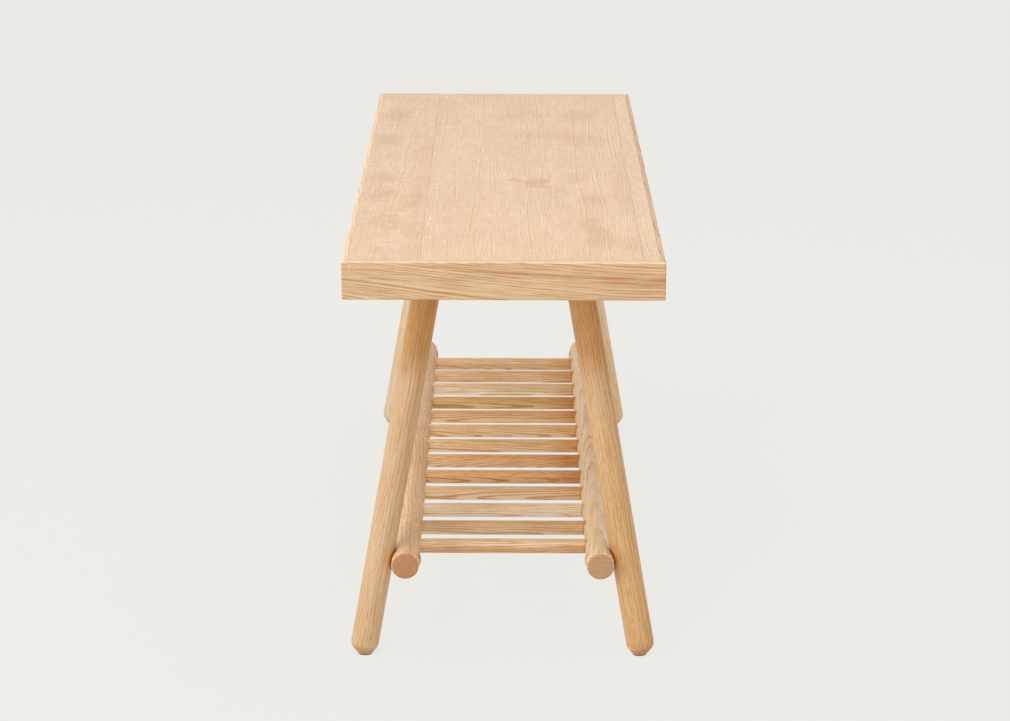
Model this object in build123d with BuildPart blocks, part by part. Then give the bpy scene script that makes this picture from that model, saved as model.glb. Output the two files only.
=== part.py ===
from build123d import *
import os
from math import cos, radians, sqrt, tan

# Oak bench with a slatted shelf. A thick lipped seat board stands on four round legs that splay
# both ways. Two round rails run lengthwise inside the legs, and round slats join the rails.
# Millimetres. X across the bench, Y along it, Z up, origin on the floor under the middle.
# Front is the -Y end, left is the -X side.

# Seat
seat_length = 1000.0
seat_width = 336.0
seat_height = 450.0
seat_thickness = 40.0
side_lipping = 5.0
end_lipping = 12.0
seat_arris = 1.2
leaf_thickness = 3.0
left_leaf_width = 75.5
right_leaf_width = 17.5
underside_sheet_thickness = 3.0

# Legs, set in from the seat's edges to their axes where they meet the floor
leg_diameter = 30.0
leg_splay = 10.0
foot_inset_side = 16.0
foot_inset_end = 52.5
foot_shift = 2.6
foot_bevel_angle = 38.0
shoulder_round = 11.0

# Shelf rails and slats
rail_diameter = 30.0
rail_height = 102.5
rail_housing = 2.0
rail_overhang = 24.0
rail_end_round = 3.5
slat_diameter = 16.0
slat_count = 13
slat_to_bolt = 47.0
slat_socket_depth = 8.0
slat_end_chamfer = 1.0

# Leg studs and the inserts that take them in the seat
stud_diameter = 8.0
stud_in_leg = 36.0
stud_tip_chamfer = 1.0
seat_insert_diameter = 12.0
seat_insert_length = 20.0
seat_insert_recess = 2.5

# Rail bolts, their inserts in the legs, and the plugs that hide their heads
bolt_diameter = 6.0
bolt_head_diameter = 10.0
bolt_head_height = 5.0
bolt_socket_width = 5.0
bolt_socket_depth = 3.0
bolt_clearance = 0.4
bolt_end_gap = 1.5
counterbore_depth = 9.0
plug_diameter = 12.0
plug_rim = 0.3
plug_crown = 1.7
leg_insert_diameter = 9.0
leg_insert_length = 14.0
leg_insert_recess = 1.0

# Glides
glide_diameter = 15.0
glide_thickness = 1.2
glide_edge_round = 0.5
glide_pin_diameter = 2.5
glide_pin_length = 12.0
glide_pin_tip = 0.6
foot_rim = 0.6

# Clearances: round a glued or screwed piece, and past the end of one in a blind hole
fit_gap = 0.1
end_gap = 0.5

# Worked out from the sizes above
underside = seat_height - seat_thickness
inner_width = seat_width - 2 * side_lipping
inner_length = seat_length - 2 * end_lipping
lean = tan(radians(leg_splay))
axis_stretch = sqrt(1 + 2 * lean**2)
leg_radius = leg_diameter / 2
rail_radius = rail_diameter / 2
foot_x = seat_width / 2 - foot_inset_side
foot_y = seat_length / 2 - foot_inset_end
bolt_y = foot_y - lean * rail_height
rail_x = foot_x - lean * rail_height - (leg_radius + rail_radius - rail_housing) / cos(radians(leg_splay))
rail_length = 2 * (bolt_y + rail_overhang)
first_slat_y = bolt_y - slat_to_bolt
slat_pitch = 2 * first_slat_y / (slat_count - 1)
slat_length = 2 * (rail_x - rail_radius + slat_socket_depth - end_gap)
foot_flat_radius = glide_diameter / 2 + foot_rim
leg_insert_start = rail_radius + leg_insert_recess
leg_insert_end = leg_insert_start + leg_insert_length
bolt_seat = rail_radius - counterbore_depth

corners = {"front_left": (-1, -1), "front_right": (1, -1), "back_left": (-1, 1), "back_right": (1, 1)}
sides = {"left": -1, "right": 1}

os.makedirs("parts", exist_ok=True)


def save(piece, name):
    """Name a finished piece and write it out."""
    piece.part.label = name
    export_step(piece.part, f"parts/{name}.step")


def leg_plane(side_x, side_y, height):
    """Plane square to a leg, centred on its axis at this height."""
    centre = (side_x * (foot_x - lean * height), side_y * (foot_y - lean * height), height)
    return Plane(origin=centre, z_dir=(-side_x * lean, -side_y * lean, 1))


def foot_plane(side_x, side_y):
    """Level plane on a leg's cut foot, centred on its bevel and glide, a little inside the axis."""
    axis_point = leg_plane(side_x, side_y, glide_thickness).origin
    return Plane(axis_point - Vector(side_x, side_y) * foot_shift)


def rail_plane(side_x):
    """Plane square to a rail at the middle of its length."""
    return Plane(origin=(side_x * rail_x, 0, rail_height), x_dir=(1, 0, 0), z_dir=(0, 1, 0))


def bolt_plane(side_x, side_y):
    """Plane square to a rail bolt, centred on the rail and facing out to the leg."""
    centre = (side_x * rail_x, side_y * bolt_y, rail_height)
    return Plane(origin=centre, x_dir=(0, 1, 0), z_dir=(side_x, 0, 0))


def seat_insert_plane(side_x, side_y):
    """Plane square to a leg at the mouth of its insert, inside the seat."""
    return leg_plane(side_x, side_y, underside).offset(seat_insert_recess)


def seat_board(low, high, width, length, centre_x=0, drilled=False):
    """Flat board of the seat from one height to another, drilled in line with the legs or plain."""
    with BuildPart() as board:
        with BuildSketch(Plane.XY.offset(low)):
            with Locations((centre_x, 0)):
                Rectangle(width, length)
        extrude(amount=high - low)
        if drilled:
            for side_x, side_y in corners.values():
                with BuildSketch(seat_insert_plane(side_x, side_y).offset(-seat_insert_diameter)):
                    Circle(seat_insert_diameter / 2 + fit_gap)
                extrude(amount=seat_insert_diameter + seat_insert_length + end_gap, mode=Mode.SUBTRACT)
    return board


# Core board
core_top = seat_height - leaf_thickness
core_bottom = underside + underside_sheet_thickness
core_board = seat_board(core_bottom, core_top, inner_width, inner_length, drilled=True)
save(core_board, "core_board")

# Sheet glued under the core
underside_sheet = seat_board(underside, core_bottom, inner_width, inner_length, drilled=True)
save(underside_sheet, "underside_sheet")

# Three leaves side by side on top of the core
leaf_edges = [
    -inner_width / 2,
    -inner_width / 2 + left_leaf_width,
    inner_width / 2 - right_leaf_width,
    inner_width / 2,
]
for name, left_edge, right_edge in zip(("left", "centre", "right"), leaf_edges, leaf_edges[1:]):
    middle = (left_edge + right_edge) / 2
    leaf = seat_board(core_top, seat_height, right_edge - left_edge, inner_length, centre_x=middle)
    save(leaf, f"top_leaf_{name}")

# Lippings round the edge, mitred at the corners, with softened outer arrises
outer_corner = (seat_width / 2, seat_length / 2)
inner_corner = (inner_width / 2, inner_length / 2)
lipping_ends = {
    "front": ((-1, -1), (1, -1)),
    "back": ((1, 1), (-1, 1)),
    "left": ((-1, 1), (-1, -1)),
    "right": ((1, -1), (1, 1)),
}
for name, (start, finish) in lipping_ends.items():
    mitred_outline = [
        (start[0] * outer_corner[0], start[1] * outer_corner[1]),
        (finish[0] * outer_corner[0], finish[1] * outer_corner[1]),
        (finish[0] * inner_corner[0], finish[1] * inner_corner[1]),
        (start[0] * inner_corner[0], start[1] * inner_corner[1]),
    ]
    with BuildPart() as lipping:
        with BuildSketch(Plane.XY.offset(underside)):
            Rectangle(seat_width, seat_length)
        extrude(amount=seat_thickness)
        fillet(lipping.edges(), seat_arris)
        with BuildSketch(Plane.XY.offset(underside)):
            with BuildLine():
                Polyline(*mitred_outline, close=True)
            make_face()
        extrude(amount=seat_thickness, mode=Mode.INTERSECT)
    save(lipping, f"lipping_{name}")

# Legs
for name, (side_x, side_y) in corners.items():
    foot_centre = foot_plane(side_x, side_y).origin
    foot_section = Plane(origin=foot_centre, x_dir=(1, 0, 0), z_dir=(0, -1, 0))
    bevel_height = underside - glide_thickness
    bevel_radius = foot_flat_radius + bevel_height * tan(radians(foot_bevel_angle))
    with BuildPart() as leg:
        with BuildSketch(leg_plane(side_x, side_y, -leg_diameter)):
            Circle(leg_radius)
        extrude(amount=(underside + 2 * leg_diameter) * axis_stretch)
        split(bisect_by=Plane.XY.offset(glide_thickness), keep=Keep.TOP)
        split(bisect_by=Plane.XY.offset(underside), keep=Keep.BOTTOM)
        # Foot bevelled all round its flat, with a rounded shoulder above the bevel
        with BuildSketch(foot_section):
            with BuildLine():
                Polyline(
                    (0, 0),
                    (foot_flat_radius, 0),
                    (bevel_radius, bevel_height),
                    (0, bevel_height),
                    close=True,
                )
            make_face()
        revolve(axis=Axis(foot_centre, (0, 0, 1)), mode=Mode.INTERSECT)
        fillet(leg.edges().filter_by(GeomType.BSPLINE), shoulder_round)
        # Shallow cope that the rail lies in
        with BuildSketch(rail_plane(side_x)):
            Circle(rail_radius + fit_gap)
        extrude(amount=rail_length / 2 + leg_diameter, both=True, mode=Mode.SUBTRACT)
        # Blind holes for the bolt insert, the stud and the glide's pin
        with BuildSketch(bolt_plane(side_x, side_y)):
            Circle(leg_insert_diameter / 2 + fit_gap)
        extrude(amount=leg_insert_end + end_gap, mode=Mode.SUBTRACT)
        with BuildSketch(leg_plane(side_x, side_y, underside).offset(-stud_in_leg - end_gap)):
            Circle(stud_diameter / 2 + fit_gap)
        extrude(amount=stud_in_leg + leg_diameter, mode=Mode.SUBTRACT)
        with Locations(Plane(origin=foot_centre, z_dir=(0, 0, -1))):
            Hole(glide_pin_diameter / 2 + fit_gap, depth=glide_pin_length + end_gap)
    save(leg, f"leg_{name}")

# Studs that screw into the leg tops, and the threaded inserts above them
with BuildPart() as leg_studs:
    for side_x, side_y in corners.values():
        with BuildSketch(leg_plane(side_x, side_y, underside).offset(-stud_in_leg)):
            Circle(stud_diameter / 2)
        extrude(amount=stud_in_leg + seat_insert_recess + seat_insert_length - end_gap)
    chamfer(leg_studs.edges().filter_by(GeomType.CIRCLE), stud_tip_chamfer)
save(leg_studs, "leg_studs")

with BuildPart() as seat_inserts:
    for side_x, side_y in corners.values():
        with BuildSketch(seat_insert_plane(side_x, side_y)):
            Circle(seat_insert_diameter / 2)
            Circle(stud_diameter / 2 + fit_gap, mode=Mode.SUBTRACT)
        extrude(amount=seat_insert_length)
save(seat_inserts, "seat_inserts")

# Rails, with a blind socket for each slat and a counterbored hole for each bolt
for name, side_x in sides.items():
    inner_face = Plane(
        origin=(side_x * (rail_x - rail_radius), 0, rail_height), x_dir=(0, 1, 0), z_dir=(-side_x, 0, 0)
    )
    with BuildPart() as rail:
        with BuildSketch(rail_plane(side_x)):
            Circle(rail_radius)
        extrude(amount=rail_length / 2, both=True)
        fillet(rail.edges().filter_by(GeomType.CIRCLE), rail_end_round)
        with Locations(inner_face):
            with GridLocations(slat_pitch, 0, slat_count, 1):
                Hole(slat_diameter / 2 + fit_gap, depth=slat_socket_depth)
            with GridLocations(2 * bolt_y, 0, 2, 1):
                CounterBoreHole(
                    radius=bolt_diameter / 2 + bolt_clearance,
                    counter_bore_radius=plug_diameter / 2 + fit_gap,
                    counter_bore_depth=counterbore_depth,
                    depth=rail_diameter,
                )
    save(rail, f"rail_{name}")

# Slats, counted from the front
for index in range(slat_count):
    slat_y = index * slat_pitch - first_slat_y
    with BuildPart() as slat:
        with BuildSketch(Plane.YZ):
            with Locations((slat_y, rail_height)):
                Circle(slat_diameter / 2)
        extrude(amount=slat_length / 2, both=True)
        chamfer(slat.edges().filter_by(GeomType.CIRCLE), slat_end_chamfer)
    save(slat, f"slat_{index + 1:02d}")

# Socket-head bolts through the rails into the legs
with BuildPart() as rail_bolts:
    for side_x, side_y in corners.values():
        with BuildSketch(bolt_plane(side_x, side_y).offset(-bolt_seat)):
            Circle(bolt_diameter / 2)
        extrude(amount=bolt_seat + leg_insert_end - bolt_end_gap)
        with BuildSketch(bolt_plane(side_x, side_y).offset(-bolt_seat - bolt_head_height)):
            Circle(bolt_head_diameter / 2)
        extrude(amount=bolt_head_height)
        with BuildSketch(bolt_plane(side_x, side_y).offset(-bolt_seat - bolt_head_height)):
            RegularPolygon(bolt_socket_width / 2, side_count=6, major_radius=False)
        extrude(amount=bolt_socket_depth, mode=Mode.SUBTRACT)
save(rail_bolts, "rail_bolts")

with BuildPart() as leg_inserts:
    for side_x, side_y in corners.values():
        with BuildSketch(bolt_plane(side_x, side_y).offset(leg_insert_start)):
            Circle(leg_insert_diameter / 2)
            Circle(bolt_diameter / 2 + fit_gap, mode=Mode.SUBTRACT)
        extrude(amount=leg_insert_length)
save(leg_inserts, "leg_inserts")

# Domed wooden plugs over the bolt heads, on the inner side of each rail
plug_radius = plug_diameter / 2
plug_inner_end = bolt_seat + bolt_head_height + end_gap
for name, (side_x, side_y) in corners.items():
    plug_centre = (side_x * rail_x, side_y * bolt_y, rail_height)
    with BuildPart() as plug:
        with BuildSketch(Plane(origin=plug_centre, x_dir=(-side_x, 0, 0), z_dir=(0, 0, 1))):
            with BuildLine():
                dome = TangentArc(
                    (rail_radius + plug_crown, 0), (rail_radius + plug_rim, plug_radius), tangent=(0, 1)
                )
                Polyline(dome @ 1, (plug_inner_end, plug_radius), (plug_inner_end, 0), dome @ 0)
            make_face()
        revolve(axis=Axis(plug_centre, (-side_x, 0, 0)))
    save(plug, f"rail_plug_{name}")

# Nail-on glides under the feet
for name, (side_x, side_y) in corners.items():
    with BuildPart() as glide:
        with BuildSketch(foot_plane(side_x, side_y)):
            Circle(glide_diameter / 2)
        extrude(amount=-glide_thickness)
        fillet(glide.edges().sort_by(Axis.Z)[0], glide_edge_round)
        with BuildSketch(foot_plane(side_x, side_y)):
            Circle(glide_pin_diameter / 2)
        extrude(amount=glide_pin_length)
        chamfer(glide.edges().sort_by(Axis.Z)[-1], glide_pin_tip)
    save(glide, f"glide_{name}")
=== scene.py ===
from math import pi

import bpy
from mathutils import Euler, Matrix, Vector


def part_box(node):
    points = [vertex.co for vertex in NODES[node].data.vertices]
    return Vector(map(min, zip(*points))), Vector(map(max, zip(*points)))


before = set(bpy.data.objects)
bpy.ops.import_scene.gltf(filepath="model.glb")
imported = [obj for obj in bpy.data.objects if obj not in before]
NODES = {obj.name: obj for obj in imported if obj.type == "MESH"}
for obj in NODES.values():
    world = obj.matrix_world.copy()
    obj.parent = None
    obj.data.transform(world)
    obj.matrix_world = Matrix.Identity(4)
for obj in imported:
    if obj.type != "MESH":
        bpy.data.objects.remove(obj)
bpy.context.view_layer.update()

# Oak bench with a slatted shelf, seen along its length from its front end.
# Metres. X across the bench, Y along it, Z up, origin on the floor under the middle.

CORNERS = {"front_left": (-1, -1), "front_right": (1, -1), "back_left": (-1, 1), "back_right": (1, 1)}


# Shader nodes

class Graph:
    """Short calls that add nodes to one shader tree and give back their outputs."""

    def __init__(self, tree):
        self.tree = tree

    def node(self, kind, inputs=None, **settings):
        """A node with its settings made and its inputs linked or set."""
        made = self.tree.nodes.new(kind)
        for name, value in settings.items():
            setattr(made, name, value)
        for key, value in (inputs or {}).items():
            self.feed(made.inputs[key], value)
        return made

    def feed(self, socket, value):
        """Link an output to a socket, or set its value."""
        if isinstance(value, bpy.types.NodeSocket):
            self.tree.links.new(value, socket)
        else:
            socket.default_value = value

    def math(self, operation, first, second=0.0, clamp=False):
        inputs = {0: first, 1: second}
        return self.node("ShaderNodeMath", inputs, operation=operation, use_clamp=clamp).outputs[0]

    def add(self, *terms):
        total = terms[0]
        for term in terms[1:]:
            total = self.math("ADD", total, term)
        return total

    def times(self, *factors):
        product = factors[0]
        for factor in factors[1:]:
            product = self.math("MULTIPLY", product, factor)
        return product

    def minus(self, first, second):
        return self.math("SUBTRACT", first, second)

    def vector(self, operation, first, second):
        return self.node("ShaderNodeVectorMath", {0: first, 1: second}, operation=operation)

    def join(self, x, y, z):
        return self.node("ShaderNodeCombineXYZ", {0: x, 1: y, 2: z}).outputs[0]

    def split(self, vector):
        return self.node("ShaderNodeSeparateXYZ", {0: vector}).outputs[:]

    def noise_node(self, place, rate, detail=1.0, rough=0.5):
        """Noise that repeats this many times a metre along each axis."""
        scaled = self.vector("MULTIPLY", place, rate).outputs[0]
        inputs = {"Vector": scaled, "Scale": 1.0, "Detail": detail, "Roughness": rough}
        return self.node("ShaderNodeTexNoise", inputs)

    def noise(self, place, rate, detail=1.0, rough=0.5):
        return self.noise_node(place, rate, detail, rough).outputs["Fac"]

    def sway(self, place, rate, detail=1.0, rough=0.5):
        """Noise that swings evenly to both sides of zero."""
        return self.add(self.noise(place, rate, detail, rough), -0.5)

    def step(self, value, low, high, start=0.0, end=1.0):
        """Smooth change from start to end as the value goes from low to high."""
        inputs = {0: value, 1: low, 2: high, 3: start, 4: end}
        return self.node("ShaderNodeMapRange", inputs, interpolation_type="SMOOTHSTEP").outputs[0]

    def near(self, value, middle, reach):
        """1 where the value is at the middle, falling to 0 at the reach on both sides."""
        return self.step(self.math("ABSOLUTE", self.minus(value, middle)), 0.0, reach, 1.0, 0.0)

    def mix(self, share, first, second, blend="MIX"):
        inputs = {0: share, 6: first, 7: second}
        return self.node("ShaderNodeMix", inputs, data_type="RGBA", blend_type=blend).outputs[2]


def rgb(red, green, blue):
    """Linear colour from the 0 to 255 values seen on a screen."""
    def linear(value):
        share = value / 255
        return share / 12.92 if share <= 0.04045 else ((share + 0.055) / 1.055) ** 2.4
    return (linear(red), linear(green), linear(blue), 1.0)


# Oak

# Waves of the grain: rate across and along it, per metre, and how far each wave reaches
GRAIN_WAVES = (
    ((9, 9, 2.2), 0.012),
    ((22, 22, 8), 0.0045),
    ((70, 70, 26), 0.0012),
)
# Rates of the finer features, per metre, across, across and along the grain, and for the rays round the
# heart, out from it and along the grain
RING_SPACING_RATE = (110, 110, 110)
RING_FADE_RATE = (40, 40, 6)
FIBRE_RATE = (620, 620, 24)
PORE_RATE = (1000, 1000)
RAY_RATE = (130, 55, 60)
BROAD_RATE = (22, 22, 6)
MOTTLE_RATE = (90, 90, 30)
CURL_RATE = (28, 28, 120)

# Rings: how many rings the spacing drifts by, the part of a ring where its dark start peaks and ends,
# the depth of the faintest ring, and how much of the rings shows on a surface cut across the grain
RING_DRIFT = 3.0
EARLY_PEAK = 0.12
EARLY_END = 0.6
FAINTEST_RING = 0.35
RINGS_CUT_ACROSS = 0.75
# Mean of the rings and of the pores, taken off so that they leave the middle tone as it is
RING_MEAN = 0.3
PORE_MEAN = 0.15
# Noise from and to, then the share from and to that it gives
RING_FADE = (0.3, 0.7, 0.4, 1.0)
# Noise from and to over which pores and rays appear
PORE_ZONE = (0.48, 0.66)
RAY_ZONE = (0.62, 0.72)
# Pores of the late wood, and how many more the early wood has
LATE_PORES = 0.45
EARLY_PORES = 0.75
MOTTLE_SHARE = 0.5
RAY_LIGHT = 0.15

MIDDLE_TONE = 0.34
END_TONE = rgb(214, 190, 166)
END_RING_TONE = rgb(208, 180, 157)
OAK_ROUGHNESS = 0.40
OAK_ROUGHER = 0.14
OAK_GLOSS = 0.9
OAK_BUMP = 0.00004
OAK_BUMP_STRENGTH = 0.5
# Shares of the bump
PORE_DEPTH = 1.0
EARLY_DEPTH = 0.25
FIBRE_HEIGHT = 0.5
RAY_HEIGHT = 0.12


def group_sockets(tree, inputs, outputs):
    """Declare a node group's inputs, with their defaults, and its outputs."""
    for name, (kind, value) in inputs.items():
        socket = tree.interface.new_socket(name, in_out="INPUT", socket_type="NodeSocket" + kind)
        socket.default_value = value
    for name, kind in outputs.items():
        tree.interface.new_socket(name, in_out="OUTPUT", socket_type="NodeSocket" + kind)


def make_oak():
    """Solid oak as a shared node group: growth rings, pores, rays, fibre, curl and broad tones.

    Place is in metres from the heart of the tree, with z along the grain. Bend is added to the
    distance from the heart. Across is 1 where the surface is cut across the grain.
    """
    tree = bpy.data.node_groups.new("oak", "ShaderNodeTree")
    inputs = {
        "Place": ("Vector", (0, 0, 0)),
        "Bend": ("Float", 0.0),
        "Seed": ("Float", 0.0),
        "Across": ("Float", 0.0),
        "Pale": ("Color", (0.8, 0.6, 0.4, 1)),
        "Dark": ("Color", (0.5, 0.3, 0.15, 1)),
        "Ring Width": ("Float", 0.0026),
        "Rings": ("Float", 0.6),
        "Wander": ("Float", 1.0),
        "Fibre": ("Float", 0.9),
        "Pores": ("Float", 0.5),
        "Pore Length": ("Float", 0.010),
        "Patches": ("Float", 0.5),
        "Curl": ("Float", 0.0),
    }
    group_sockets(tree, inputs, {"Color": "Color", "Roughness": "Float", "Height": "Float"})
    g = Graph(tree)
    given = g.node("NodeGroupInput").outputs
    place = given["Place"]
    seeded = g.vector("ADD", place, g.join(0, 0, given["Seed"])).outputs[0]

    # The grain wanders along the board
    x, y, _ = g.split(place)
    for rate, reach in GRAIN_WAVES:
        wave_x, wave_y, _ = g.split(g.noise_node(seeded, rate).outputs["Color"])
        x = g.add(x, g.times(g.add(wave_x, -0.5), given["Wander"], reach))
        y = g.add(y, g.times(g.add(wave_y, -0.5), given["Wander"], reach))
    distance = g.add(g.math("SQRT", g.add(g.times(x, x), g.times(y, y))), given["Bend"])
    angle = g.math("ARCTAN2", y, x)

    # Growth rings: a porous dark start that fades into pale late wood, no two alike
    uneven = g.noise(g.join(distance, given["Seed"], 0), RING_SPACING_RATE)
    turns = g.add(g.math("DIVIDE", distance, given["Ring Width"]), g.times(uneven, RING_DRIFT))
    phase = g.math("FRACT", turns)
    early = g.times(g.step(phase, 0.0, EARLY_PEAK), g.step(phase, EARLY_PEAK, EARLY_END, 1.0, 0.0))
    ring_number = {"W": g.math("FLOOR", turns)}
    each_ring = g.node("ShaderNodeTexWhiteNoise", ring_number, noise_dimensions="1D").outputs[0]
    ring_depth = g.step(each_ring, 0.0, 1.0, FAINTEST_RING, 1.0)
    ring_fade = g.step(g.noise(seeded, RING_FADE_RATE), *RING_FADE)
    ring_cut = g.step(given["Across"], 0.0, 1.0, 1.0, RINGS_CUT_ACROSS)
    rings = g.times(g.add(early, -RING_MEAN), ring_depth, ring_fade, ring_cut)

    # Fine fibre, short open pores, and rays that run out from the heart
    fibre = g.sway(seeded, FIBRE_RATE, detail=3, rough=0.65)
    pore_rate = g.join(*PORE_RATE, g.math("DIVIDE", 1.0, given["Pore Length"]))
    pore_depth = g.step(g.noise(seeded, pore_rate), *PORE_ZONE)
    pores = g.times(pore_depth, g.add(LATE_PORES, g.times(early, EARLY_PORES)))
    z = g.split(seeded)[2]
    rays = g.step(g.noise(g.join(angle, distance, z), RAY_RATE), *RAY_ZONE)

    # Broad tones, and the curl that shimmers across the grain
    broad = g.sway(seeded, BROAD_RATE, detail=3, rough=0.55)
    mottle = g.sway(seeded, MOTTLE_RATE, detail=2)
    curl = g.sway(seeded, CURL_RATE)

    darkness = g.add(
        MIDDLE_TONE,
        g.times(rings, given["Rings"]),
        g.times(fibre, given["Fibre"]),
        g.times(g.add(pores, -PORE_MEAN), given["Pores"]),
        g.times(g.add(broad, g.times(mottle, MOTTLE_SHARE)), given["Patches"]),
        g.times(curl, given["Curl"]),
        g.times(rays, -RAY_LIGHT),
    )
    darkness = g.math("MAXIMUM", darkness, 0.0, clamp=True)
    colour = g.mix(darkness, given["Pale"], given["Dark"])
    end_colour = g.mix(1.0, colour, g.mix(early, END_TONE, END_RING_TONE), "MULTIPLY")
    colour = g.mix(given["Across"], colour, end_colour)
    rougher = [g.times(part, OAK_ROUGHER) for part in (darkness, pores, given["Across"])]
    height = g.add(
        g.times(pores, -PORE_DEPTH), g.times(early, -EARLY_DEPTH),
        g.times(fibre, FIBRE_HEIGHT), g.times(rays, RAY_HEIGHT),
    )
    outputs = {"Color": colour, "Roughness": g.add(OAK_ROUGHNESS, *rougher), "Height": height}
    g.node("NodeGroupOutput", outputs)
    return tree


OAK = make_oak()
# Shares of red, green and blue that the dark tone loses
DEEPENING = (0.36, 0.54, 0.76)
WARM_DEEPENING = (0.32, 0.52, 0.86)
PALE_DEEPENING = (0.42, 0.51, 0.62)
# How squarely the surface faces along the grain, from where it starts to show its end to where it does
CUT_ACROSS = (0.25, 0.80)


def dress(node, material):
    """Give a node this material."""
    slots = NODES[node].data.materials
    slots.clear()
    slots.append(material)


def oak_material(name, tone, grain, heart, seed, deepening=DEEPENING, bend=None, marks=None, **figure):
    """Oiled oak for one node.

    Grain is the direction of the grain. Heart leads from the middle of the piece to the heart of
    its tree. Deepening is the share of red, green and blue that the dark tone loses. Bend gives
    what is added to the distance of the rings, marks changes the finished colour, and figure sets
    the other inputs of the oak group.
    """
    material = bpy.data.materials.new("oak_" + name)
    material.use_nodes = True
    shader = material.node_tree.nodes["Principled BSDF"]
    g = Graph(material.node_tree)
    coordinates = g.node("ShaderNodeTexCoord").outputs
    place = coordinates["Object"]

    low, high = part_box(name)
    along = Vector(grain).normalized()
    outward = -Vector(heart)
    outward = (outward - outward.dot(along) * along).normalized()
    mapping = g.node("ShaderNodeMapping", {"Vector": place}, vector_type="TEXTURE")
    mapping.inputs["Location"].default_value = (Vector(low) + Vector(high)) / 2 + Vector(heart)
    turned = Matrix((outward.cross(along), outward, along)).transposed()
    mapping.inputs["Rotation"].default_value = turned.to_euler()
    facing = g.vector("DOT_PRODUCT", coordinates["Normal"], along).outputs["Value"]

    pale = rgb(*tone)
    deep = [part * (1 - loss) for part, loss in zip(pale, deepening)]
    inputs = {
        "Place": mapping.outputs[0],
        "Seed": seed,
        "Across": g.step(g.math("ABSOLUTE", facing), *CUT_ACROSS),
        "Pale": pale,
        "Dark": (*deep, 1.0),
    }
    inputs.update({key.replace("_", " ").title(): value for key, value in figure.items()})
    if bend:
        inputs["Bend"] = bend(g, place)
    oak = g.node("ShaderNodeGroup", node_tree=OAK)
    for key, value in inputs.items():
        g.feed(oak.inputs[key], value)
    colour = marks(g, place, oak.outputs["Color"]) if marks else oak.outputs["Color"]
    relief = {"Strength": OAK_BUMP_STRENGTH, "Distance": OAK_BUMP, "Height": oak.outputs["Height"]}
    bump = g.node("ShaderNodeBump", relief)
    shader.inputs["Specular IOR Level"].default_value = OAK_GLOSS
    g.feed(shader.inputs["Base Color"], colour)
    g.feed(shader.inputs["Roughness"], oak.outputs["Roughness"])
    g.feed(shader.inputs["Normal"], bump.outputs[0])
    dress(name, material)


# Marks on the wood, with painted light and shade

STAIN_TINT = rgb(232, 219, 208)
BROWN_TINT = rgb(233, 200, 156)
# Tint of painted shade where pieces meet, on the shaded half of a slat and on its right end
GOLD_SHADE_TINT = rgb(226, 190, 124)
# Tint of the painted seat shadow and side shade on the legs, and of their richer foot
DEEP_GOLD_TINT = rgb(238, 209, 112)
# Tint of the painted shade in the crease where pieces touch
CREASE_SHADE_TINT = rgb(150, 124, 92)
# Tint of painted light on a slat's lit half and on its left end
PAINTED_LIGHT_TINT = (1.12, 1.26, 1.42, 1.0)
FLECK_TONE = rgb(250, 244, 232)
RAGGED_RATE = (70, 30, 70)
RAGGED_REACH = 0.012
HALF_TONE = (0.5, 0.5, 0.5)


def tinted(g, colour, amount, tint):
    """The colour multiplied by a tint, by an amount from 0 to 1 or more."""
    return g.mix(g.math("MINIMUM", amount, 1.0), colour, g.mix(1.0, colour, tint, "MULTIPLY"))


def ragged(g, place):
    """The place moved about a little, so that a mark drawn there has a ragged rim."""
    waves = g.noise_node(place, RAGGED_RATE, detail=3, rough=0.6).outputs["Color"]
    wave = g.vector("SUBTRACT", waves, HALF_TONE)
    reach = g.vector("SCALE", wave.outputs[0], (0, 0, 0))
    reach.inputs["Scale"].default_value = RAGGED_REACH
    return g.vector("ADD", place, reach.outputs[0]).outputs[0]


def oval(g, place, x, y, half_width, half_length):
    """Soft oval on the seat top, 1 in its middle and 0 at its rim."""
    place_x, place_y, _ = g.split(place)
    across = g.math("DIVIDE", g.minus(place_x, x), half_width)
    along = g.math("DIVIDE", g.minus(place_y, y), half_length)
    return g.step(g.add(g.times(across, across), g.times(along, along)), 0.0, 1.0, 1.0, 0.0)


def ovals(g, place, table):
    """Sum of soft ovals, each given as X, Y, half width, half length and strength."""
    return g.add(*(g.times(oval(g, place, *shape), strength) for *shape, strength in table))


def rim(g, place, node, reach):
    """1 along the four upright sides of a flat node's box, falling to 0 at the reach inwards."""
    low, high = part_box(node)
    x, y, _ = g.split(place)
    inside = [g.minus(x, low[0]), g.minus(high[0], x), g.minus(y, low[1]), g.minus(high[1], y)]
    nearest = inside[0]
    for gap in inside[1:]:
        nearest = g.math("MINIMUM", nearest, gap)
    return g.step(nearest, 0.0, reach, 1.0, 0.0)


# Where legs, rails and slats meet. A leg runs from its foot's X and Y and leans alike both ways.

# The lean is the tangent of the 10 degree splay
LEG_FOOT = (0.152, 0.4475)
LEG_LEAN = 0.17633
LEG_RADIUS = 0.015
RAIL_LOW, RAIL_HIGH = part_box("rail_right")
RAIL_X = (RAIL_LOW[0] + RAIL_HIGH[0]) / 2
RAIL_Z = (RAIL_LOW[2] + RAIL_HIGH[2]) / 2
RAIL_RADIUS = (RAIL_HIGH[2] - RAIL_LOW[2]) / 2
RAIL_END = RAIL_HIGH[1]
# Reaches of the painted shade where pieces meet
CONTACT_SHADE_REACH = 0.005
CREASE_SHADE_REACH = 0.0014


def round_gap(g, first, second, radius):
    """Distance from a round piece's surface, from the two distances to its axis."""
    return g.add(g.math("SQRT", g.add(g.times(first, first), g.times(second, second))), -radius)


def rail_gap(g, place):
    """Distance from the surface of the rail on the same side of the bench."""
    x, _, z = g.split(place)
    return round_gap(g, g.minus(g.math("ABSOLUTE", x), RAIL_X), g.minus(z, RAIL_Z), RAIL_RADIUS)


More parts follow.
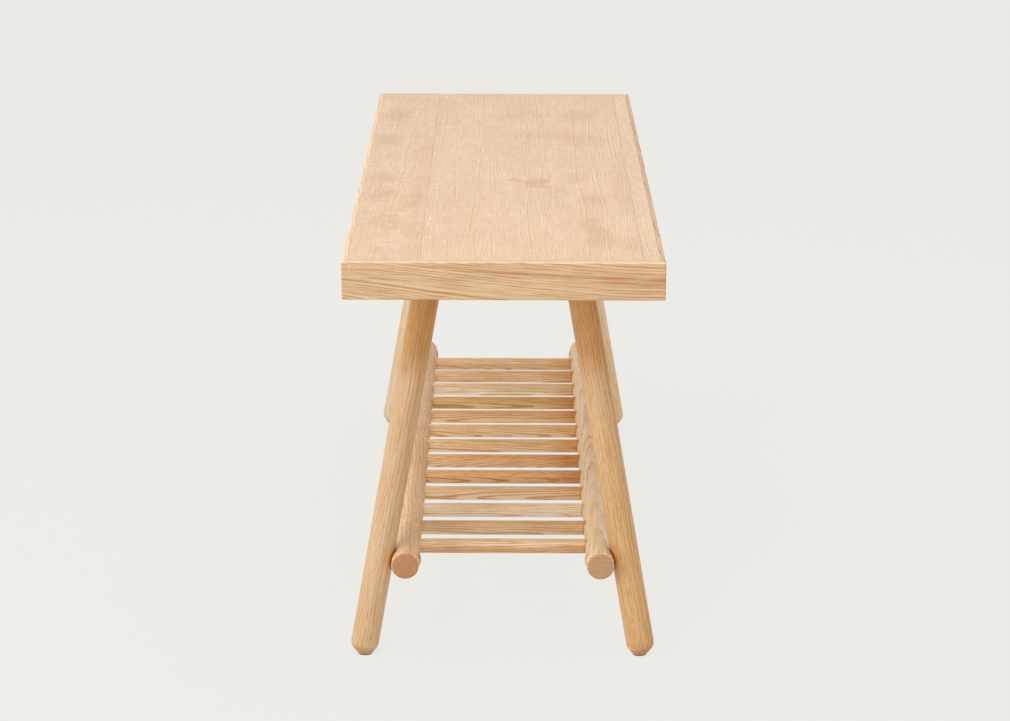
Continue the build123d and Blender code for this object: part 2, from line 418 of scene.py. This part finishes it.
def leg_gap(g, place):
    """Level distance from the surface of the leg in the same quarter of the bench."""
    x, y, z = g.split(place)
    lean = g.times(z, LEG_LEAN)
    across = g.minus(g.math("ABSOLUTE", x), g.minus(LEG_FOOT[0], lean))
    along = g.minus(g.math("ABSOLUTE", y), g.minus(LEG_FOOT[1], lean))
    return round_gap(g, across, along, LEG_RADIUS)


def contact_shade(g, gap, colour):
    """Painted shade: a richer tone where the gap to another piece closes, and a dark crease where they
    touch.
    """
    colour = tinted(g, colour, g.step(gap, 0.0, CONTACT_SHADE_REACH, 1.0, 0.0), GOLD_SHADE_TINT)
    return tinted(g, colour, g.step(gap, 0.0, CREASE_SHADE_REACH, 1.0, 0.0), CREASE_SHADE_TINT)


# Seat top: three leaves with their grain lengthwise. Stains are X, Y, half width, half length, strength.

LEAF_JOINT = 0.0014
LEAF_JOINT_STRENGTH = 0.7
LEFT_STAINS = (
    (-0.138, 0.339, 0.026, 0.060, 0.50),
    (-0.142, 0.167, 0.026, 0.054, 0.50),
    (-0.145, -0.068, 0.024, 0.044, 0.45),
    (-0.135, -0.164, 0.022, 0.054, 0.50),
    (-0.104, -0.190, 0.018, 0.060, 0.45),
    (-0.130, -0.306, 0.022, 0.060, 0.40),
    (-0.098, 0.060, 0.018, 0.260, 0.25),
    (-0.096, -0.380, 0.018, 0.160, 0.25),
)
CENTRE_STAINS = (
    (0.099, 0.164, 0.038, 0.050, 0.5),
    (0.092, 0.330, 0.032, 0.060, 0.45),
    (0.088, -0.065, 0.024, 0.050, 0.4),
    (0.101, -0.188, 0.022, 0.050, 0.4),
    (0.105, -0.383, 0.020, 0.070, 0.5),
    (0.094, -0.319, 0.020, 0.050, 0.4),
    (0.134, -0.416, 0.018, 0.050, 0.4),
    (0.060, 0.200, 0.070, 0.040, 0.3),
    (0.020, 0.330, 0.050, 0.050, 0.3),
    (0.135, -0.150, 0.016, 0.170, 0.3),
)
# Strokes of the small knot: from X, Y to X, Y, reach across and along the bench, strength
KNOT_STROKES = (
    (0.007, -0.073, 0.028, -0.096, 0.0030, 0.012, 0.8),
    (0.026, -0.112, 0.053, -0.119, 0.0030, 0.009, 0.6),
    (0.053, -0.119, 0.068, -0.129, 0.0020, 0.007, 0.3),
    (0.047, -0.094, 0.0535, -0.048, 0.0022, 0.010, 0.6),
    (0.0135, -0.040, 0.0135, -0.070, 0.0032, 0.012, 0.35),
)
KNOT_SHADE = (0.038, -0.088, 0.017, 0.030)
KNOT_SHADE_STRENGTH = 0.75
KNOT_SWELL = (0.033, -0.080, 0.055, 0.150)
KNOT_LIFT = 0.006
FLECKS = (
    (-0.0815, -0.285, 0.0014, 0.014, 0.60),
    (-0.0828, -0.311, 0.0011, 0.012, 0.50),
)


def leaf_joint(g, place, node, colour):
    """A thin darker line round a leaf."""
    return tinted(g, colour, g.times(rim(g, place, node, LEAF_JOINT), LEAF_JOINT_STRENGTH), STAIN_TINT)


def left_leaf_marks(g, place, colour):
    """Stains and the joint of the left leaf."""
    colour = tinted(g, colour, ovals(g, ragged(g, place), LEFT_STAINS), STAIN_TINT)
    return leaf_joint(g, place, "top_leaf_left", colour)


def knot_swell(g, place):
    """Rings swell round the small knot."""
    return g.times(oval(g, place, *KNOT_SWELL), KNOT_LIFT)


def stroke(g, place, start, end, reach):
    """Soft line on the seat top between two points, 1 along its middle and 0 at its reach."""
    squash = (1 / reach[0], 1 / reach[1], 0)
    first = Vector((start[0] * squash[0], start[1] * squash[1], 0))
    run = Vector((end[0] * squash[0], end[1] * squash[1], 0)) - first
    spot = g.vector("SUBTRACT", g.vector("MULTIPLY", place, squash).outputs[0], first).outputs[0]
    covered = g.vector("DOT_PRODUCT", spot, run).outputs["Value"]
    share = g.math("DIVIDE", covered, run.length_squared, clamp=True)
    nearest = g.vector("MULTIPLY", run, g.join(share, share, share)).outputs[0]
    return g.step(g.vector("DISTANCE", spot, nearest).outputs["Value"], 0.0, 1.0, 1.0, 0.0)


def knot(g, place):
    """Small knot: ragged grey-brown strokes round a soft shade."""
    shades = [g.times(oval(g, place, *KNOT_SHADE), KNOT_SHADE_STRENGTH)]
    for *ends, reach_x, reach_y, strength in KNOT_STROKES:
        line = stroke(g, place, ends[:2], ends[2:], (reach_x, reach_y))
        shades.append(g.times(line, strength))
    return g.add(*shades)


def centre_leaf_marks(g, place, colour):
    """Stains, small knot, pale flecks and the joint of the centre leaf."""
    moved = ragged(g, place)
    stains = g.add(ovals(g, moved, CENTRE_STAINS), knot(g, moved))
    colour = tinted(g, colour, stains, STAIN_TINT)
    colour = g.mix(ovals(g, place, FLECKS), colour, FLECK_TONE)
    return leaf_joint(g, place, "top_leaf_centre", colour)


def right_leaf_marks(g, place, colour):
    """The joint of the right leaf."""
    return leaf_joint(g, place, "top_leaf_right", colour)


SEAT_OAK = {
    "top_leaf_left": dict(
        tone=(234, 201, 169), grain=(0.03, 1, 0), heart=(0.12, 0, -0.06), seed=1.3, marks=left_leaf_marks,
        deepening=PALE_DEEPENING, rings=0.34, ring_width=0.0027, fibre=0.9, pores=0.1, patches=0.45,
        curl=0.35, wander=1.5,
    ),
    "top_leaf_centre": dict(
        tone=(234, 201, 169), grain=(0, 1, 0), heart=(0.26, 0, -0.12), seed=3.1, marks=centre_leaf_marks,
        bend=knot_swell, deepening=PALE_DEEPENING, rings=0.45, ring_width=0.0026, fibre=0.9, pores=0.1,
        patches=0.4, curl=0.2, wander=1.7,
    ),
    "top_leaf_right": dict(
        tone=(233, 204, 172), grain=(-0.03, 1, 0), heart=(0.12, 0, -0.04), seed=5.7, marks=right_leaf_marks,
        deepening=PALE_DEEPENING, rings=0.5, ring_width=0.0022, pores=0.2, pore_length=0.012, patches=0.4,
    ),
    "underside_sheet": dict(tone=(218, 172, 118), grain=(0, 1, 0), heart=(0.03, 0, -0.09), seed=7.9),
    "core_board": dict(tone=(229, 190, 146), grain=(0, 1, 0), heart=(0.03, 0, -0.06), seed=9.7),
}

# Lippings round the seat's edge

SEAT_LOW, SEAT_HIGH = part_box("lipping_front")
SEAT_TOP = SEAT_HIGH[2]
SEAT_BOTTOM = SEAT_LOW[2]
SEAT_RIGHT = SEAT_HIGH[0]
SEAT_BACK = -SEAT_LOW[1]
# The lippings' arrises carry a painted highlight along the top and painted shade along the bottom
ARRIS = 0.0011
ARRIS_HIGHLIGHT_TONE = rgb(255, 222, 188)
ARRIS_HIGHLIGHT_SHARE = 0.7
STREAK_START = -0.076
STREAK_RUN = 0.243
STREAK_DROP = 0.0125
STREAK_LEVEL = 0.433
STREAK_REACH = 0.0024
STREAK_FALL = 1.7
STREAK_GROWTH = (0.5, 2.0)
STREAK_RATE = (25, 400, 400)
# Noise from and to, then the share from and to that it gives
STREAK_STRANDS = (0.35, 0.6, 0.35, 1.0)
BROWN_ZONE = (0.06, 0.14, 0.4285, 0.0055)
NICK = (-0.1600, 0.0012, 0.4450, 0.0040)
NICK_STRENGTH = 0.45
LIPPING_INSIDE = SEAT_HIGH[1]
TOP_FACE_REACH = 0.0005
TOP_FACE_TONE = rgb(232, 197, 161)
TOP_FACE_STRENGTH = 0.7
LIPPING_JOINT = 0.005
# Patches where the painted highlight on the front arris is stronger
ARRIS_HIGHLIGHT_RATE = (9, 9, 9)
ARRIS_HIGHLIGHT_PATCHES = (0.45, 0.6, 0.0, 0.6)
RIGHT_JOINT = 0.0012
# Y from and to, then how grey the right lipping is from and to
RIGHT_FADE = (-0.46, -0.10, 0.0, 0.45)


def streak_height(g, place):
    """Height of the streak over its level: it comes down from the left and runs out flat."""
    x = g.split(place)[0]
    run = g.math("DIVIDE", g.minus(x, STREAK_START), STREAK_RUN)
    left_over = g.math("MAXIMUM", g.minus(1.0, run), 0.0)
    return g.times(g.math("POWER", left_over, STREAK_FALL), STREAK_DROP)


def front_bend(g, place):
    """The rings of the front lipping follow its streak."""
    return g.times(streak_height(g, place), -1.0)


def arrises(g, place, colour, arris_highlight=ARRIS_HIGHLIGHT_SHARE):
    """Softened corners of the lippings, with a painted highlight along the top and painted shade below."""
    x, y, z = g.split(place)
    reach_x = g.minus(SEAT_RIGHT, g.math("ABSOLUTE", x))
    reach_y = g.minus(SEAT_BACK, g.math("ABSOLUTE", y))
    outer = g.step(g.math("MINIMUM", reach_x, reach_y), 0.0, ARRIS, 1.0, 0.0)
    # Painted highlight along the top arris
    colour = g.mix(g.times(g.near(z, SEAT_TOP, ARRIS), outer, arris_highlight), colour, ARRIS_HIGHLIGHT_TONE)
    # Painted shade along the bottom arris
    return tinted(g, colour, g.times(g.near(z, SEAT_BOTTOM, ARRIS), outer), BROWN_TINT)


def front_marks(g, place, colour):
    """A brown streak that grows to the right with a warm zone under it, and a small pale nick.

    The narrow top face is quiet up to its joint with the leaves, and the painted highlight on its arris is
    stronger in patches.
    """
    x, y, z = g.split(place)
    strands = g.step(g.noise(place, STREAK_RATE, detail=2), *STREAK_STRANDS)
    height = g.minus(z, streak_height(g, place))
    growth = g.step(x, STREAK_START, STREAK_START + STREAK_RUN, *STREAK_GROWTH)
    streak = g.times(g.near(height, STREAK_LEVEL, STREAK_REACH), growth, strands)
    zone_start, zone_end, zone_middle, zone_reach = BROWN_ZONE
    zone = g.times(g.step(x, zone_start, zone_end), g.near(z, zone_middle, zone_reach), strands)
    colour = tinted(g, colour, g.add(streak, zone), BROWN_TINT)
    nick_x, nick_reach_x, nick_z, nick_reach_z = NICK
    nick = g.times(g.near(x, nick_x, nick_reach_x), g.near(z, nick_z, nick_reach_z))
    colour = g.mix(g.times(nick, NICK_STRENGTH), colour, FLECK_TONE)
    top_face = g.near(z, SEAT_TOP, TOP_FACE_REACH)
    colour = g.mix(g.times(top_face, TOP_FACE_STRENGTH), colour, TOP_FACE_TONE)
    joint = g.times(top_face, g.near(y, LIPPING_INSIDE, LIPPING_JOINT))
    # Patches of painted highlight on the arris
    arris_highlight = g.step(g.noise(place, ARRIS_HIGHLIGHT_RATE), *ARRIS_HIGHLIGHT_PATCHES)
    return arrises(g, place, tinted(g, colour, joint, STAIN_TINT), arris_highlight)


def right_marks(g, place, colour):
    """A thin dark joint with the leaves, and a greyer tone away from the front."""
    x, y, _ = g.split(place)
    joint = g.near(x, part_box("lipping_right")[0][0], RIGHT_JOINT)
    return tinted(g, colour, g.add(joint, g.step(y, *RIGHT_FADE)), STAIN_TINT)


LIPPING_OAK = {
    "lipping_front": dict(
        tone=(225, 189, 148), grain=(1, 0, -0.035), heart=(0, 0.05, -0.12), seed=11.0, bend=front_bend,
        marks=front_marks, rings=1.25, ring_width=0.0026, fibre=1.6, pores=0.5, pore_length=0.045,
        patches=0.7, wander=0.9,
    ),
    "lipping_back": dict(
        tone=(234, 196, 154), grain=(1, 0, 0.03), heart=(0, -0.05, -0.12), seed=13.3, marks=arrises,
        rings=1.4, fibre=1.4, pores=0.5, pore_length=0.04,
    ),
    # The left lipping's paler tone is partly its own wood and partly painted light on the edge that faces
    # the light
    "lipping_left": dict(
        tone=(246, 216, 186), grain=(0, 1, 0.01), heart=(0.06, 0, -0.11), seed=15.6, marks=arrises,
        rings=0.8, fibre=1.1,
    ),
    # The right lipping's darker tone is partly its own wood and partly painted shade on the edge turned
    # away from the light
    "lipping_right": dict(
        tone=(218, 181, 147), grain=(0, 1, -0.02), heart=(-0.06, 0, -0.11), seed=17.9, marks=right_marks,
        rings=0.4, fibre=1.0, wander=0.6,
    ),
}

# Legs, with the grain along each leg's lean

# Zone of the painted shadow of the seat at the top of a leg
SEAT_SHADOW_ZONE = (0.29, 0.34)
LEG_FOOT_ZONE = (0.10, 0.24)
BEVEL_ZONE = (0.0075, 0.0120)
# Tint of the painted highlight on the foot's bevel
BEVEL_LIGHT_TINT = (1.29, 1.50, 1.46, 1.0)
LEG_SEED = 23.0
LEG_SEED_STEP = 1.7
# Tone, heart in X and Y, strength of the figure, how deep the painted shadow of the seat on the top is, how
# much richer the foot is, how deep the painted shade on the right side is, and how much paler the painted
# highlight makes the bevel
LEGS = {
    "front_left": ((219, 184, 147), (-0.07, 0.05), 0.8, 0.80, 0.0, 0.28, 0.9),
    "front_right": ((221, 181, 136), (-0.08, 0.025), 1.0, 0.62, 0.25, 0.25, 0.9),
    "back_left": ((228, 203, 174), (-0.07, 0.05), 0.7, 0.10, 0.0, 0.0, 0.0),
    "back_right": ((246, 219, 181), (0.07, 0.05), 0.8, 0.15, 0.0, 0.0, 0.0),
}


def leg_marks(side_x, seat_shadow, foot, side_shade, bevel_light):
    """A painted shadow of the seat on the top, a richer foot, painted shade on the right side, a painted
    highlight on the bevel, and painted shade where the leg meets the rail.
    """
    def marks(g, place, colour):
        x, _, z = g.split(place)
        axis = g.times(g.minus(LEG_FOOT[0], g.times(z, LEG_LEAN)), side_x)
        # Painted shadow of the seat on the top of the leg
        upper = g.step(z, *SEAT_SHADOW_ZONE, 0.0, seat_shadow)
        lower = g.step(z, *LEG_FOOT_ZONE, foot, 0.0)
        # Painted shade on the right side of the leg
        shaded_side = g.step(g.minus(x, axis), 0.0, LEG_RADIUS, 0.0, side_shade)
        colour = tinted(g, colour, g.add(upper, lower, shaded_side), DEEP_GOLD_TINT)
        # Painted highlight on the foot's bevel
        if bevel_light:
            colour = tinted(g, colour, g.step(z, *BEVEL_ZONE, bevel_light, 0.0), BEVEL_LIGHT_TINT)
        # Painted shade where the leg meets the rail
        return contact_shade(g, rail_gap(g, place), colour)
    return marks


def leg_oak(index, corner):
    """How the leg at one corner of the bench is sawn."""
    tone, heart, strength, *shades = LEGS[corner]
    side_x, side_y = CORNERS[corner]
    return dict(
        tone=tone, grain=(-side_x * LEG_LEAN, -side_y * LEG_LEAN, 1), heart=(*heart, 0),
        seed=LEG_SEED + LEG_SEED_STEP * index, marks=leg_marks(side_x, *shades),
        deepening=WARM_DEEPENING, rings=1.1 * strength, ring_width=0.0022, fibre=1.9 * strength,
        pores=0.5 * strength, pore_length=0.009, patches=0.7,
    )


LEG_OAK = {f"leg_{corner}": leg_oak(index, corner) for index, corner in enumerate(CORNERS)}

# Shelf: rails and plugs with their grain lengthwise, slats with theirs across the bench

RAIL_END_REACH = 0.003


def rail_marks(end_shade):
    """Painted shade where the rail meets the legs, and darker ends."""
    def marks(g, place, colour):
        y = g.split(place)[1]
        end = g.times(g.near(g.math("ABSOLUTE", y), RAIL_END, RAIL_END_REACH), end_shade)
        # Painted shade where the rail meets a leg
        return contact_shade(g, leg_gap(g, place), tinted(g, colour, end, STAIN_TINT))
    return marks


RAIL_OAK = {
    "rail_left": dict(
        tone=(243, 209, 169), grain=(0, 1, 0.02), heart=(0.075, 0, -0.07), seed=31.0,
        marks=rail_marks(end_shade=0.6), deepening=WARM_DEEPENING, rings=1.0, fibre=1.5, pores=0.65,
        pore_length=0.008, patches=0.7,
    ),
    "rail_right": dict(
        tone=(240, 216, 180), grain=(0.004, 1, 0.035), heart=(0.003, 0, -0.06), seed=32.9,
        marks=rail_marks(end_shade=0.2), rings=0.6, ring_width=0.0026, fibre=1.0, pores=0.25,
        patches=0.4, wander=0.7,
    ),
}

# Slats from the front: tone, slope of the grain, strength of the figure, how much paler painted light makes
# the upper half than the lower (below zero, the lower than the upper), painted light that pales the left
# end, painted shade that warms the right end
SLATS = (
    ((229, 196, 161), 0.03, 1.5, 1.1, 0.1, 0.30),
    ((220, 188, 150), -0.02, 1.2, -0.2, 0.9, 0.20),
    ((240, 219, 195), 0.00, 0.9, 0.0, 1.1, 0.10),
    ((239, 210, 177), 0.03, 1.0, 0.0, 1.0, 0.60),
    ((231, 187, 139), -0.10, 1.7, 0.6, 0.4, 0.95),
    ((240, 201, 158), 0.12, 1.5, -0.2, 1.0, 1.50),
    ((244, 211, 173), -0.04, 1.5, 0.0, 0.7, 0.95),
    ((248, 215, 175), -0.08, 1.3, 0.0, 0.4, 0.50),
    ((241, 203, 160), -0.02, 1.4, -0.3, 0.7, 1.00),
    ((230, 192, 142), -0.02, 1.6, 0.0, 0.7, 1.05),
    ((253, 239, 217), 0.01, 1.2, -0.4, 0.2, 0.75),
    ((242, 210, 172), 0.01, 1.2, 0.0, 0.7, 0.60),
    ((240, 206, 166), -0.06, 1.4, 0.6, 0.0, 0.60),
)
SLAT_HEART_SIDE = 0.04
SLAT_HEART_TOP = 0.05
SLAT_HEART_STEP = 0.009
SLAT_HEARTS = 5
SLAT_SEED = 41.0
SLAT_SEED_STEP = 1.1
# Reaches of the painted shade in the seam and of the painted light and shade at the slat's ends
SLAT_SEAM_SHADE = 0.003
SLAT_LEFT_LIGHT_REACH = 0.040
SLAT_RIGHT_SHADE_REACH = 0.060
SLAT_MIDDLE = (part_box("slat_01")[0][2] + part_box("slat_01")[1][2]) / 2
SLAT_HALF_BLEND = 0.004
# Share of painted shade on the other half of a slat
SLAT_SHADED_HALF_SHARE = 0.42
SLAT_HALF_RATE = (12, 12, 12)
SLAT_HALF_WANDER = 0.006


def painted_light_halves(g, place, colour, half_light):
    """Painted light on the upper half of a slat and painted shade on the lower one, or the other way round
    where the share is below zero.
    """
    height = g.add(g.split(place)[2], g.times(g.sway(place, SLAT_HALF_RATE), SLAT_HALF_WANDER))
    upper = g.step(height, SLAT_MIDDLE, SLAT_MIDDLE + SLAT_HALF_BLEND)
    lower = g.minus(1.0, upper)
    lit_half, shaded_half = (upper, lower) if half_light > 0 else (lower, upper)
    # Painted light on one half and painted shade on the other
    colour = tinted(g, colour, g.times(lit_half, abs(half_light)), PAINTED_LIGHT_TINT)
    return tinted(g, colour, g.times(shaded_half, abs(half_light) * SLAT_SHADED_HALF_SHARE), GOLD_SHADE_TINT)


def slat_marks(half_light, pale, right_shade):
    """Painted light and shade on the two halves, painted light on the left end, and painted shade on the
    right end with a darker seam by the rail.
    """
    def marks(g, place, colour):
        if half_light:
            colour = painted_light_halves(g, place, colour, half_light)
        x = g.split(place)[0]
        gap = rail_gap(g, place)
        # Painted light on the left end of the slat
        left = g.times(g.step(gap, 0.0, SLAT_LEFT_LIGHT_REACH, 1.0, 0.0), g.step(x, -RAIL_X, 0.0, pale, 0.0))
        colour = tinted(g, colour, left, PAINTED_LIGHT_TINT)
        # Painted shade in the seam by the right rail and along the right end
        seam_shade = g.step(gap, 0.0, SLAT_SEAM_SHADE, 1.0, 0.0)
        shade = g.add(seam_shade, g.times(g.step(gap, 0.0, SLAT_RIGHT_SHADE_REACH, 1.0, 0.0), right_shade))
        return tinted(g, colour, g.times(shade, g.step(x, 0.0, RAIL_X)), GOLD_SHADE_TINT)
    return marks


def slat_oak(index):
    """How one slat is sawn. No two neighbours have the heart of the tree in the same place."""
    tone, slope, strength, *shades = SLATS[index]
    heart = (0, SLAT_HEART_SIDE, SLAT_HEART_TOP - SLAT_HEART_STEP * (index % SLAT_HEARTS))
    return dict(
        tone=tone, grain=(1, 0, slope), heart=heart, seed=SLAT_SEED + SLAT_SEED_STEP * index,
        marks=slat_marks(*shades), deepening=WARM_DEEPENING, rings=1.5 * strength, ring_width=0.0018,
        fibre=2.1 * strength, pores=0.35 * strength, pore_length=0.02, patches=0.9,
    )


SLAT_OAK = {f"slat_{index + 1:02d}": slat_oak(index) for index in range(len(SLATS))}

PLUG_SEED = 61.0
PLUG_SEED_STEP = 1.3
PLUG_TONES = {
    "front_left": (220, 162, 98),
    "front_right": (236, 208, 172),
    "back_left": (228, 190, 146),
    "back_right": (228, 190, 146),
}
PLUG_OAK = {
    f"rail_plug_{corner}": dict(
        tone=tone, grain=(0, 1, 0), heart=(0.008, 0, 0.012), seed=PLUG_SEED + PLUG_SEED_STEP * index,
        rings=1.0,
    )
    for index, (corner, tone) in enumerate(PLUG_TONES.items())
}

for pieces in (SEAT_OAK, LIPPING_OAK, LEG_OAK, RAIL_OAK, SLAT_OAK, PLUG_OAK):
    for node_name, sawing in pieces.items():
        oak_material(node_name, **sawing)


# Nylon glides and zinc-plated fasteners

PLAIN_BUMP = 0.00005
PLAIN_BUMP_STRENGTH = 0.4
PLAIN_LIGHTER = 1.4
PLAIN_ROUGHNESS_REACH = 0.08
PLAIN_SPECKLE = (0.2, 0.8)


def plain_material(name, colour, roughness, metallic, rate):
    """Fine moulded or plated surface with a little variation of tone, gloss and height."""
    material = bpy.data.materials.new(name)
    material.use_nodes = True
    shader = material.node_tree.nodes["Principled BSDF"]
    g = Graph(material.node_tree)
    place = g.node("ShaderNodeTexCoord").outputs["Object"]
    speckle = g.noise(place, (rate, rate, rate), detail=3, rough=0.6)
    lighter = (*(part * PLAIN_LIGHTER for part in colour[:3]), 1.0)
    relief = {"Strength": PLAIN_BUMP_STRENGTH, "Distance": PLAIN_BUMP, "Height": speckle}
    bump = g.node("ShaderNodeBump", relief)
    smoother = roughness - PLAIN_ROUGHNESS_REACH
    rougher = roughness + PLAIN_ROUGHNESS_REACH
    g.feed(shader.inputs["Base Color"], g.mix(speckle, colour, lighter))
    g.feed(shader.inputs["Roughness"], g.step(speckle, *PLAIN_SPECKLE, smoother, rougher))
    g.feed(shader.inputs["Normal"], bump.outputs[0])
    shader.inputs["Metallic"].default_value = metallic
    return material


nylon = plain_material("dark_nylon", rgb(44, 34, 30), roughness=0.5, metallic=0.0, rate=900)
steel = plain_material("zinc_steel", rgb(176, 176, 172), roughness=0.35, metallic=1.0, rate=700)
for corner in CORNERS:
    dress(f"glide_{corner}", nylon)
for node_name in ("leg_studs", "seat_inserts", "rail_bolts", "leg_inserts"):
    dress(node_name, steel)


# Camera: a long lens that looks a little down along the bench. Lens and sensor are in millimetres,
# angles in radians.
LENS = 106.93
SENSOR = 36.0
CAMERA_PLACE = (0.0001, -3.518, 1.16)
CAMERA_PITCH = 0.2636
CAMERA_YAW = -0.0005
CAMERA_ROLL = 0.0035

camera = bpy.data.objects.new("camera", bpy.data.cameras.new("camera"))
bpy.context.scene.collection.objects.link(camera)
camera.data.lens = LENS
camera.data.sensor_width = SENSOR
aim = Euler((pi / 2 - CAMERA_PITCH, 0, CAMERA_YAW)).to_matrix().to_4x4()
camera.matrix_world = Matrix.Translation(CAMERA_PLACE) @ aim @ Matrix.Rotation(CAMERA_ROLL, 4, "Z")
bpy.context.scene.camera = camera


# Floor, backdrop and light

BACKDROP = rgb(236, 235, 231)
FLOOR_TONE = (0.92, 0.915, 0.90, 1)
FLOOR_REACH = 30.0
FLOOR_GLOW = 0.92
WORLD_LIGHT = (0.62, 0.60, 0.565, 1)
WARM_WHITE = (1.0, 0.99, 0.97)
COOL_WHITE = (0.89, 0.98, 1.09)


def background_rays(g):
    """1 for the rays that see the backdrop itself, straight, mirrored or through glass."""
    rays = g.node("ShaderNodeLightPath").outputs
    seen = g.math("MAXIMUM", rays["Is Camera Ray"], rays["Is Glossy Ray"])
    return g.math("MAXIMUM", seen, rays["Is Transmission Ray"])


def make_floor():
    """Wide pale floor that shows the backdrop's colour and keeps a faint shadow."""
    corners = [(side_x * FLOOR_REACH, side_y * FLOOR_REACH, 0) for side_x, side_y in CORNERS.values()]
    mesh = bpy.data.meshes.new("floor")
    mesh.from_pydata(corners, [], [(0, 1, 3, 2)])
    floor = bpy.data.objects.new("floor", mesh)
    bpy.context.scene.collection.objects.link(floor)
    material = bpy.data.materials.new("floor")
    material.use_nodes = True
    nodes = material.node_tree.nodes
    matt = nodes["Principled BSDF"]
    matt.inputs["Base Color"].default_value = FLOOR_TONE
    matt.inputs["Roughness"].default_value = 1.0
    matt.inputs["Specular IOR Level"].default_value = 0.0
    g = Graph(material.node_tree)
    glow = g.node("ShaderNodeEmission", {"Color": BACKDROP, "Strength": 1.0})
    share = g.times(background_rays(g), FLOOR_GLOW)
    blend = g.node("ShaderNodeMixShader", {0: share, 1: matt.outputs[0], 2: glow.outputs[0]})
    g.feed(nodes["Material Output"].inputs["Surface"], blend.outputs[0])
    mesh.materials.append(material)


def make_world():
    """Even light from all round, with the backdrop's colour where it is seen."""
    world = bpy.data.worlds.new("studio")
    world.use_nodes = True
    g = Graph(world.node_tree)
    colour = g.mix(background_rays(g), WORLD_LIGHT, BACKDROP)
    g.feed(world.node_tree.nodes["Background"].inputs["Color"], colour)
    bpy.context.scene.world = world


def soft_box(name, place, aim, size, power, tone, mirrored=True):
    """Large soft lamp that shines from a place towards a point, and may be mirrored in gloss."""
    lamp = bpy.data.lights.new(name, "AREA")
    lamp.shape = "SQUARE"
    lamp.size = size
    lamp.color = tone
    lamp.energy = power
    holder = bpy.data.objects.new(name, lamp)
    holder.location = place
    holder.rotation_euler = (Vector(aim) - Vector(place)).to_track_quat("-Z", "Y").to_euler()
    holder.visible_camera = False
    holder.visible_glossy = mirrored
    bpy.context.scene.collection.objects.link(holder)


LAMP_AIM = (0, 0, 0.35)
LAMPS = {
    "overhead": dict(place=(0.3, -0.3, 3.2), size=2.4, power=32, tone=WARM_WHITE),
    "front": dict(place=(-1.3, -2.8, 2.95), size=1.0, power=31, tone=WARM_WHITE),
    "left": dict(place=(-3.2, -1.2, 1.5), size=2.4, power=49, tone=COOL_WHITE, mirrored=False),
}

make_floor()
make_world()
for lamp_name, setting in LAMPS.items():
    soft_box(lamp_name, aim=LAMP_AIM, **setting)
bpy.context.scene.view_settings.view_transform = "Standard"
